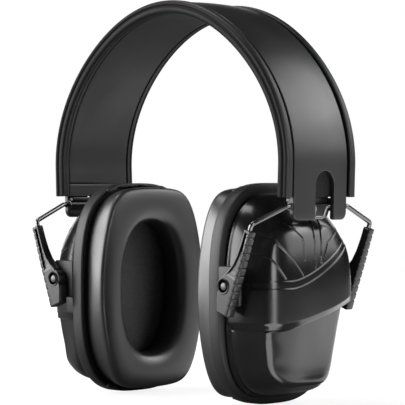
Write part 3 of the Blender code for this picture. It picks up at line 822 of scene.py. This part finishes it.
def make_arm(word, side, spot, end):
    top_edge, bottom_edge = [ARM_TOP, ARM_TOP + 0.15], [ARM_BOTTOM - 0.15, ARM_BOTTOM]
    between = np.arange(ARM_TOP + 0.5, ARM_BOTTOM - 0.4, 0.2)
    downs = np.concatenate([top_edge, between, bottom_edge])
    rings = []
    for i, down in enumerate(downs):
        section = np.array(arm_section(min(max(down, ARM_TOP + 0.5), ARM_BOTTOM - 0.5)))
        centre = section.mean(0)
        pull = {0: 0.45, 1: 0.15, len(downs) - 2: 0.15, len(downs) - 1: 0.45}.get(i, 0.0)
        towards = centre - section
        size = np.linalg.norm(towards, axis=1, keepdims=True)
        section = section + towards / size * pull
        rings.append([yoke_point(side, down * MM, out * MM, end * y * MM) for out, y in section])
    arm = loft("arm_bar", rings, sharp=38)
    centre = (side * PIVOT_X, 0, PIVOT_Z)
    leg_hole = turned(
        "leg_hole",
        [(1.3 * MM, -2 * MM), (1.3 * MM, 20 * MM)],
        yoke_point(side, ARM_TOP * MM, 0, end * LEG_Y),
        Vector(yoke_point(side, 1, 0, 0)) - Vector(yoke_point(side, 0, 0, 0)),
        steps=24,
    )
    recess = [(PIN_RECESS_RADIUS * MM, 41.0 * MM), (PIN_RECESS_RADIUS * MM, 44.0 * MM)]
    pin_recess = turned("pin_recess", recess, centre, (0, end, 0), steps=48)
    for cutter in (leg_hole, pin_recess):
        modifier = arm.modifiers.new("hole", "BOOLEAN")
        modifier.object = cutter
        modifier.operation = "DIFFERENCE"
        apply_modifiers(arm)
        bpy.data.objects.remove(cutter)
    ring_profile = [
        (2.75, 42.4), (2.75, 43.05), (2.9, 43.35), (3.2, 43.45),
        (3.5, 43.25), (3.65, 42.8), (3.65, 42.4),
    ]
    ring = turned(
        "boss_ring",
        [(r * MM, y * MM) for r, y in ring_profile],
        centre,
        (0, end, 0),
        steps=56,
    )
    name = f"{word}_{spot}_slide_arm"
    arm = joined(name, [arm, ring])
    arm.data.set_sharp_from_angle(angle=math.radians(38))
    finish_piece(arm, "arm", f"{word}_arms", "arm_plastic", f"{word}_{spot}_arm")
    pin_profile = [
        (0.0, 43.25), (1.1, 43.25), (1.55, 43.1), (1.8, 42.8),
        (1.85, 42.2), (1.7, 42.0), (1.7, 36.2), (0.0, 36.2),
    ]
    pin = turned(
        f"{word}_{spot}_pivot_pin",
        [(r * MM, y * MM) for r, y in pin_profile],
        centre,
        (0, end, 0),
        steps=40,
    )
    finish_piece(pin, "pin", f"{word}_cup", "arm_plastic", f"{word}_{spot}_pin")


# ---------------------------------------------------------------- cups


TRAY_FRONT, TRAY_BACK = 41.8, 48.2
TAB_PLACES = (-18.0, 18.0)
TONGUE_PLACES = (-7.6, 7.6)


def rim_blocks(side):
    """Snap tabs and thin tongues in the gap between the tray's rim and the cushion."""
    made = []
    half_y, half_z = (BASE_HIGH.y - BASE_LOW.y) / 2 / MM, (BASE_HIGH.z - BASE_LOW.z) / 2 / MM
    kinds = [(y, 3.3, 2.0, 40.6, 0.5) for y in TAB_PLACES]
    kinds += [(y, 6.3, 0.7, 40.2, 0.25) for y in TONGUE_PLACES]
    for y, half_width, height, front, bevel in kinds:
        rim = half_z * (1 - abs(y / half_y) ** CUP_EXPONENT) ** (1 / CUP_EXPONENT)
        tilt = (rim - half_z * (1 - abs((y + 1) / half_y) ** CUP_EXPONENT) ** (1 / CUP_EXPONENT))
        for up in (1, -1):
            low_x, high_x = sorted((side * front, side * 44.0))
            centre = rim - 1.3
            low = (low_x * MM, -half_width * MM, -height / 2 * MM)
            high = (high_x * MM, half_width * MM, height / 2 * MM)
            block = box_mesh("block", low, high, bevel * MM)
            block.rotation_euler.x = -up * math.atan(tilt)
            block.location = (0, y * MM, CUP_Z + up * centre * MM)
            bpy.context.view_layer.update()
            made.append(block)
    return made


def make_base(word, side):
    half_y, half_z = (BASE_HIGH.y - BASE_LOW.y) / 2 - 0.2 * MM, (BASE_HIGH.z - BASE_LOW.z) / 2
    x0, x1 = TRAY_FRONT, TRAY_BACK
    wall = [
        (x0 + 0.30, 0.08), (x0 + 0.75, 0.0), (x0 + 3.0, 0.0), (x1 - 0.9, 0.0), (x1 - 0.3, 0.25),
        (x1, 0.85), (x1, 3.0), (x1, 12.8), (x1 - 2.0, 12.8), (x1 - 2.0, 1.9), (x1 - 2.3, 1.6),
        (x0 + 0.6, 1.6), (x0 + 0.15, 1.35), (x0, 0.95), (x0, 0.55), (x0 + 0.10, 0.22),
    ]
    rings = cup_rings(side, [(x * MM, half_y - d * MM, half_z - d * MM, CUP_Z) for x, d in wall], 160)
    pieces = [loft("tray", rings, joined=True, sharp=40)] + rim_blocks(side)
    for _, end in ENDS:
        low_y, high_y = sorted((end * 35.7 * MM, end * 37.95 * MM))
        low_x, high_x = sorted((side * 47.6 * MM, side * 60.4 * MM))
        low, high = (low_x, low_y, 46.3 * MM), (high_x, high_y, 63.9 * MM)
        lug = box_mesh("lug", low, high, 0.8 * MM)
        for face in lug.data.polygons:
            face.material_index = 1
        pieces.append(lug)
    base = joined(f"{word}_cup_tray", pieces)
    base.data.set_sharp_from_angle(angle=math.radians(40))
    finish_piece(base, "base", f"{word}_cup", "base_plastic", f"{word}_cup_base", second="lug")


# Shell sections in millimetres: distance out, half width, half height, height of the middle.
# Above the groove the corner between wall and face is soft, and below it the corner is tight
SHELL_PROFILE = (
    (48.7, 34.3, 46.6, 49.8),
    (52.0, 34.25, 46.5, 49.75),
    (57.0, 33.4, 44.9, 48.9),
    (62.0, 31.9, 42.0, 47.8),
    (66.0, 30.4, 38.8, 47.0),
    (68.4, 29.2, 36.2, 46.6),
    (70.0, 27.2, 33.2, 46.4),
    (71.5, 23.9, 28.6, 46.2),
    (72.6, 19.6, 22.6, 46.1),
    (73.3, 14.0, 16.0, 46.0),
    (73.6, 7.0, 8.0, 46.0),
    (73.65, 0.4, 0.4, 46.0),
)
LOWER_PROFILE = (
    (48.7, 34.3, 46.6, 49.8),
    (52.0, 34.25, 46.5, 49.75),
    (57.0, 33.5, 45.0, 48.9),
    (62.0, 32.4, 42.4, 47.8),
    (66.0, 31.3, 39.9, 47.0),
    (68.4, 30.5, 38.5, 46.7),
    (69.8, 29.5, 37.0, 46.6),
    (70.8, 27.8, 34.6, 46.4),
    (71.6, 24.6, 30.3, 46.2),
    (72.4, 19.6, 24.0, 46.1),
    (73.1, 13.2, 16.4, 46.0),
    (73.5, 6.5, 8.2, 46.0),
    (73.65, 0.4, 0.4, 46.0),
)
LOWER_EXPONENT = (3.35, 3.9)
SHELL_WALL = 2.4

# How far the lower panel's corners are set back: (height, amount) in millimetres
FRONT_INSET = (
    (0.0, -0.6), (7.0, -1.0), (14.0, 1.0), (22.0, 2.6), (32.0, 1.8), (42.0, 0.4), (52.0, 0.0),
)
REAR_INSET = (
    (0.0, 0.0), (7.0, 2.2), (14.0, 6.0), (22.0, 7.4), (32.0, 6.7), (42.0, 5.0), (52.0, 3.0),
)

# Ribs of the upper panel fan out from the band. Each groove's points are (Y, Z) in millimetres
FAN = (
    ((2.0, 86.0), (0.2, 71.5), (-0.4, 61.5)),
    ((-21.0, 89.0), (-7.0, 76.1), (-7.3, 66.5)),
    ((-27.5, 79.0), (-15.5, 67.4), (-8.8, 59.2)),
    ((-31.0, 69.5), (-25.7, 66.3), (-19.2, 57.6)),
    ((9.0, 90.0), (6.0, 79.0), (3.4, 65.4)),
    ((24.0, 82.0), (9.3, 73.6), (4.2, 64.6)),
    ((26.0, 76.0), (19.6, 71.0), (6.4, 63.6)),
)
FAN_TOP = 87.0


def fan_distance(y, z):
    """How far each point lies from the nearest groove, in millimetres."""
    nearest = np.full(y.shape, 99.0)
    for line in FAN:
        for (y0, z0), (y1, z1) in zip(line, line[1:]):
            dy, dz = y1 - y0, z1 - z0
            along = np.clip(((y - y0) * dy + (z - z0) * dz) / (dy * dy + dz * dz), 0, 1)
            nearest = np.minimum(nearest, np.hypot(y - y0 - along * dy, z - z0 - along * dz))
    return nearest


def band_top_edge(y):
    return 53.8 + 0.071 * np.maximum(0, y + 16) ** 1.5


def band_low_edge(y):
    return 38.4 + 0.047 * np.maximum(0, y + 22) ** 1.4


LEDGE = 3.3
GROOVE_DROP, LOWER_DROP, STEP_DROP, FAN_DROP, FAN_CUT = 1.5, 1.2, 0.3, 0.5, 0.3


def shell_relief(y, z):
    """Height of the raised and cut shapes against the shell's plain form, in millimetres.

    A raised band crosses the middle. Above it come a step and the ribbed panel, and below it a
    groove and the smooth lower panel.
    """
    above = z - band_top_edge(y)
    below = band_low_edge(y) - z
    step = smoothstep(-0.2, 0.3, above)
    fan = smoothstep(LEDGE - 0.2, LEDGE + 0.3, above)
    groove = np.clip(below / (LEDGE - 0.3), 0.0, 1.0)
    lower = smoothstep(LEDGE - 0.3, LEDGE + 0.1, below)
    relief = -STEP_DROP * step - (FAN_DROP - STEP_DROP) * fan
    relief -= GROOVE_DROP * groove - (GROOVE_DROP - LOWER_DROP) * lower
    distance = fan_distance(y, z)
    in_fan = smoothstep(LEDGE + 0.7, LEDGE + 1.6, above) * (1 - smoothstep(FAN_TOP - 1, FAN_TOP + 1, z))
    cut = 1 - smoothstep(0.15, 0.42, distance)
    return relief - FAN_CUT * in_fan * cut


def catmull_rom(points, count):
    """A smooth curve through the points, evenly spread along its length."""
    points = np.asarray(points, float)
    padded = np.vstack([2 * points[0] - points[1], points, 2 * points[-1] - points[-2]])
    t = np.linspace(0, 1, 24, endpoint=False)[:, None]
    fine = []
    for p0, p1, p2, p3 in zip(padded, padded[1:], padded[2:], padded[3:]):
        bend = 2 * p0 - 5 * p1 + 4 * p2 - p3
        fine.append(0.5 * (2 * p1 + (p2 - p0) * t + bend * t**2 + (3 * p1 - p0 - 3 * p2 + p3) * t**3))
    fine = np.vstack(fine + [points[-1:]])
    length = np.append(0, np.cumsum(np.linalg.norm(np.diff(fine, axis=0), axis=1)))
    at = np.linspace(0, length[-1], count)
    return np.stack([np.interp(at, length, fine[:, k]) for k in range(fine.shape[1])], 1)


def lower_rings(rows, steps):
    """The shell's plain form below the groove, with squarer corners and a tight vertical edge."""
    rings = []
    for x, half_y, half_z, centre_z in catmull_rom(LOWER_PROFILE, rows):
        squarer = float(smoothstep(48.7, 56.0, x))
        exponent = LOWER_EXPONENT[0] + (LOWER_EXPONENT[1] - LOWER_EXPONENT[0]) * squarer
        rings += cup_rings(1, [(x * MM, half_y * MM, half_z * MM, centre_z * MM)], steps, exponent)
    return np.array(rings)


def set_back(points):
    """Draws the lower panel's outer corners in along their diagonals, the rear one further."""
    x, y, z = points[..., 0] / MM, points[..., 1] / MM, points[..., 2] / MM
    below = smoothstep(LEDGE - 0.5, LEDGE + 0.3, band_low_edge(y) - z)
    outward = smoothstep(47.0, 66.0, x)
    moved = points.copy()
    for insets, end in ((FRONT_INSET, -1), (REAR_INSET, 1)):
        heights, amounts = catmull_rom(insets, 80).T
        amount = np.interp(z, heights, amounts) * below * outward * smoothstep(-26.0, 24.0, end * y)
        moved += amount[..., None] * np.array([-0.72, -0.69 * end, 0.0]) * MM
    return moved


def make_shell(word, side):
    steps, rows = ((640, 230))
    upper = np.array(cup_rings(1, catmull_rom(SHELL_PROFILE, rows) * MM, steps))
    lower = lower_rings(rows, steps)
    height, across = upper[..., 2] / MM, upper[..., 1] / MM
    low_share = smoothstep(0.0, LEDGE, band_low_edge(across) - height)[..., None]
    rings = upper + (lower - upper) * low_share
    around = np.roll(rings, -1, axis=1) - np.roll(rings, 1, axis=1)
    outward = np.gradient(rings, axis=0)
    normal = np.cross(around, outward)
    normal /= np.maximum(np.linalg.norm(normal, axis=2, keepdims=True), 1e-12)
    normal *= np.sign(normal[rows // 3, 0, 1]) * np.sign(rings[rows // 3, 0, 1])
    relief = shell_relief(rings[..., 1] / MM, rings[..., 2] / MM)
    relief *= smoothstep(49.2, 51.5, rings[..., 0] / MM)
    outer = set_back(rings + normal * (relief * MM)[..., None])
    hollow = np.array(SHELL_PROFILE[:-3]) - (0, SHELL_WALL, SHELL_WALL, 0)
    hollow[2:, 0] -= SHELL_WALL
    inner = set_back(np.array(cup_rings(1, catmull_rom(hollow, 40) * MM, steps)))
    points = np.concatenate([inner[::-1], outer])
    points[..., 0] *= side
    shell = loft(f"{word}_cup_shell_outer", points, sharp=50)
    finish_piece(shell, "shell", f"{word}_cup", "shell_plastic", f"{word}_cup_shell")


def make_liner(word, side):
    front = 46.0
    profile = [
        (60.0, 23.4, 36.0), (front + 1.2, 23.5, 36.1), (front + 0.3, 23.2, 35.8), (front, 22.4, 35.0),
        (front + 0.5, 12.0, 20.0), (front + 0.7, 0.4, 0.6),
    ]
    rings = cup_rings(side, [(x * MM, y * MM, z * MM, CUP_Z) for x, y, z in profile], 96, exponent=2.7)
    liner = loft(f"{word}_acoustic_liner", rings, sharp=60)
    finish_piece(liner, "foam", f"{word}_cup", "foam", f"{word}_cup_liner")


CUSHION_OUTER = (34.7, 48.4)
CUSHION_BOW = (0.30, 0.08)
CUSHION_CORNER = 9.0
EAR_HOLE = (20.6, 33.5)

# Cushion cover: share of the way from the ear hole to the edge, distance out, and how far the
# edge has turned from the tray's oval (0) into a rectangle with bowed sides (1)
CUSHION_SECTION = (
    (0.94, 43.2, 0.0), (0.95, 42.4, 0.0), (0.96, 41.2, 0.1), (0.97, 39.8, 0.2), (0.979, 38.2, 0.4),
    (0.987, 36.6, 0.6), (0.994, 35.2, 0.8), (0.999, 34.0, 0.9), (1.0, 33.1, 1.0), (0.99, 32.2, 1.0),
    (0.965, 31.4, 1.0), (0.925, 30.9, 1.0), (0.86, 30.6, 1.0), (0.77, 30.4, 1.0), (0.66, 30.3, 0.9),
    (0.54, 30.25, 0.8), (0.43, 30.3, 0.6), (0.32, 30.45, 0.4), (0.22, 30.65, 0.2), (0.12, 31.0, 0.0),
    (0.04, 31.6, 0.0), (-0.03, 32.5, 0.0), (-0.08, 33.8, 0.0), (-0.115, 35.8, 0.0), (-0.12, 38.2, 0.0),
    (-0.12, 40.6, 0.0), (-0.10, 43.2, 0.0),
)
SWELL_CAP = 0.6 * MM


def bowed_rectangle(oval):
    """The oval's points moved along their rays onto a rectangle with bowed sides and tight corners."""
    half_y, half_z = CUSHION_OUTER
    y, z = np.abs(oval[:, 0]) / half_y, np.abs(oval[:, 1]) / half_z
    low, high = np.full(len(oval), 0.5), np.full(len(oval), 1.6)
    for _ in range(40):
        middle = (low + high) / 2
        across = y * middle / np.maximum(1 - CUSHION_BOW[0] * (z * middle) ** 2, 0.05)
        upward = z * middle / np.maximum(1 - CUSHION_BOW[1] * (y * middle) ** 2, 0.05)
        outside = across**CUSHION_CORNER + upward**CUSHION_CORNER > 1
        low, high = np.where(outside, low, middle), np.where(outside, middle, high)
    return oval * low[:, None]


def cushion_surface(side, steps):
    hole = superellipse(*EAR_HOLE, EAR_EXPONENT, steps)
    oval = superellipse(*CUSHION_OUTER, CUP_EXPONENT, steps)
    bowed = bowed_rectangle(oval)
    rings = []
    for share, x, turned_square in CUSHION_SECTION:
        edge = oval + (bowed - oval) * turned_square
        yz = hole + (edge - hole) * share
        rings.append(np.column_stack([np.full(steps, side * x), yz[:, 0], yz[:, 1]]))
    rings = np.array(rings) * MM
    rings[..., 2] += CUP_Z
    return rings


def swell(obj, pinned):
    """Lets the cover puff out a little over its foam, held at the edges in pinned."""
    rest = np.array([v.co for v in obj.data.vertices])
    group = obj.vertex_groups.new(name="held")
    group.add(pinned, 1.0, "REPLACE")
    cloth = obj.modifiers.new("cloth", "CLOTH")
    cloth.settings.vertex_group_mass = "held"
    cloth.settings.use_pressure = True
    cloth.settings.uniform_pressure_force = 4.0
    cloth.settings.quality = 6
    cloth.settings.mass = 0.15
    cloth.settings.tension_stiffness = 25
    cloth.settings.compression_stiffness = 25
    cloth.settings.bending_stiffness = 2.0
    cloth.settings.effector_weights.gravity = 0
    scene = bpy.context.scene
    for number in range(1, 21):
        scene.frame_set(number)
    graph = bpy.context.evaluated_depsgraph_get()
    moved = np.array([v.co for v in obj.evaluated_get(graph).data.vertices])
    obj.modifiers.clear()
    obj.vertex_groups.clear()
    scene.frame_set(1)
    shift = moved - rest
    size = np.linalg.norm(shift, axis=1, keepdims=True)
    shift *= np.minimum(1.0, SWELL_CAP / np.maximum(size, 1e-9))
    for vertex, point in zip(obj.data.vertices, rest + shift):
        vertex.co = point


def make_cushion(word, side):
    steps = 120
    rings = cushion_surface(side, steps)
    rows = len(rings)
    faces = loft_faces(rows, steps)
    cover = mesh_object(f"{word}_cushion_cover", rings.reshape(-1, 3), faces)
    edge = list(range(steps)) + list(range((rows - 1) * steps, rows * steps))
    swell(cover, edge)
    solid = cover.modifiers.new("thickness", "SOLIDIFY")
    solid.thickness = 0.9 * MM
    solid.offset = -1.0
    fine = cover.modifiers.new("fine", "SUBSURF")
    fine.levels = fine.render_levels = 1
    apply_modifiers(cover)
    cover.data.shade_smooth()
    finish_piece(cover, "cushion", f"{word}_cup", "leatherette", f"{word}_cushion_skin")


# ---------------------------------------------------------------- what stays from CAD


def dress_cad_nodes():
    dress = {"headband_foam": "band_foam"}
    for word, _ in SIDES:
        dress[f"{word}_cushion_foam"] = "foam"
        dress[f"{word}_cushion_plate"] = "base"
    for name, material in dress.items():
        obj = frame["nodes"][name]
        obj.data.materials.clear()
        obj.data.materials.append(MATERIALS[material])


# ---------------------------------------------------------------- stage


FLOOR_HALF = 3.0
FLOOR_SHADE = 0.14
GLOW_NEAR, GLOW_FAR = 0.86, 1.0
REAR_DARK, REAR_BRIGHT = 0.02, 0.35
REAR_REACH = (0.04, 0.4)


def make_stage():
    """A pale sheet that glows and runs into the white behind. Its rear half lights the object."""
    shade = (FLOOR_SHADE,) * 3
    material, tree, shader = principled("floor_paper", shade, 0.8, Specular_IOR_Level=0.1)
    place = node(tree, "ShaderNodeTexCoord")
    reach = node(tree, "ShaderNodeVectorMath", operation="LENGTH")
    tree.links.new(place.outputs["Object"], reach.inputs[0])
    seen_glow = ramp(tree, reach.outputs["Value"], GLOW_NEAR, GLOW_FAR, 0.12, 0.7)
    rearward = node(tree, "ShaderNodeVectorMath", operation="DOT_PRODUCT")
    tree.links.new(place.outputs["Object"], rearward.inputs[0])
    rearward.inputs[1].default_value = (0.69, 0.72, 0.0)
    cast_glow = ramp(tree, rearward.outputs["Value"], REAR_DARK, REAR_BRIGHT, *REAR_REACH)
    path = node(tree, "ShaderNodeLightPath")
    glow = node(tree, "ShaderNodeMix", data_type="FLOAT")
    tree.links.new(path.outputs["Is Camera Ray"], glow.inputs["Factor"])
    tree.links.new(cast_glow, glow.inputs["A"])
    tree.links.new(seen_glow, glow.inputs["B"])
    shader.inputs["Emission Color"].default_value = (1.0, 1.0, 1.0, 1.0)
    tree.links.new(glow.outputs["Result"], shader.inputs["Emission Strength"])
    mesh = bpy.data.meshes.new("floor")
    corners = [(x * FLOOR_HALF, y * FLOOR_HALF, 0) for x, y in ((-1, -1), (1, -1), (1, 1), (-1, 1))]
    mesh.from_pydata(corners, [], [(0, 1, 2, 3)])
    mesh.materials.append(material)
    floor = bpy.data.objects.new("floor", mesh)
    bpy.context.scene.collection.objects.link(floor)
    floor.location.z = -0.5 * MM


LIT_POINT = Vector((0, 0, 0.09))


def lit_panel(name, size, radiance):
    """An evenly lit rectangle that the camera doesn't see."""
    light = bpy.data.lights.new(name, "AREA")
    light.shape = "RECTANGLE"
    light.size, light.size_y = size
    light.energy = radiance * math.pi * size[0] * size[1]
    obj = bpy.data.objects.new(name, light)
    bpy.context.scene.collection.objects.link(obj)
    obj.visible_camera = False
    return obj


def softbox(name, direction, distance, size, radiance):
    """A lit panel that faces the object."""
    obj = lit_panel(name, size, radiance)
    outward = Vector(direction).normalized()
    obj.location = LIT_POINT + outward * distance
    obj.rotation_euler = (-outward).to_track_quat("-Z", "Y").to_euler()


def floor_panel(name, middle, size, radiance):
    """A lit panel lying face up just over the floor, for the lower faces to catch."""
    obj = lit_panel(name, size, radiance)
    obj.location = (*middle, 1 * MM)
    obj.rotation_euler = (math.pi, 0, 0)


def make_lights():
    softbox("left_front", (-0.66, -0.75, 0.27), 1.35, (1.5, 1.08), 10.5)
    softbox("right_strip", (1.0, -0.07, 0.05), 1.3, (0.26, 1.3), 9.0)
    softbox("right_rear_high", (0.40, 0.70, 0.56), 1.4, (0.9, 0.55), 5.0)
    softbox("right_rear_low", (0.66, 0.72, 0.345), 1.4, (0.9, 0.58), 3.6)
    softbox("backdrop", (-0.69, 0.72, 0.12), 1.5, (1.8, 0.7), 1.3)
    softbox("overhead", (-0.32, -0.06, 0.95), 1.4, (0.8, 0.7), 6.0)
    floor_panel("floor_strip", (0.54, -0.045), (0.9, 0.09), 5.0)
    floor_panel("floor_rear", (0.15, 0.22), (0.36, 0.36), 1.7)
    world = bpy.data.worlds.new("studio")
    bpy.context.scene.world = world
    world.use_nodes = True
    tree = world.node_tree
    background = tree.nodes["Background"]
    path = node(tree, "ShaderNodeLightPath")
    strength = ramp(tree, path.outputs["Is Camera Ray"], 0.03, 1.0)
    background.inputs["Color"].default_value = (1, 1, 1, 1)
    tree.links.new(strength, background.inputs["Strength"])
    bpy.context.scene.view_settings.view_transform = "Standard"


CAMERA_AZIMUTH = math.radians(43.98)
CAMERA_ELEVATION = math.radians(0.42)
CAMERA_DISTANCE = 0.9937
CAMERA_ASIDE = 0.00115
CAMERA_HEIGHT = 0.0916
CAMERA_LENS = 186.8


def make_camera():
    data = bpy.data.cameras.new("camera")
    data.lens = CAMERA_LENS
    data.sensor_width = 36.0
    data.clip_start, data.clip_end = 0.05, 20.0
    camera = bpy.data.objects.new("camera", data)
    bpy.context.scene.collection.objects.link(camera)
    a, e = CAMERA_AZIMUTH, CAMERA_ELEVATION
    back = Vector((math.sin(a) * math.cos(e), -math.cos(a) * math.cos(e), math.sin(e)))
    target = Vector((CAMERA_ASIDE * math.cos(a), CAMERA_ASIDE * math.sin(a), CAMERA_HEIGHT))
    camera.location = target + back * CAMERA_DISTANCE
    camera.rotation_mode = "QUATERNION"
    camera.rotation_quaternion = (-back).to_track_quat("-Z", "Y")
    bpy.context.scene.camera = camera


make_stage()
make_lights()
make_camera()
make_sleeve()
make_strip()
for word, side in SIDES:
    make_yoke(word, side)
    for spot, end in ENDS:
        make_arm(word, side, spot, end)
    make_base(word, side)
    make_shell(word, side)
    make_liner(word, side)
    make_cushion(word, side)
dress_cad_nodes()

bpy.context.view_layer.update()
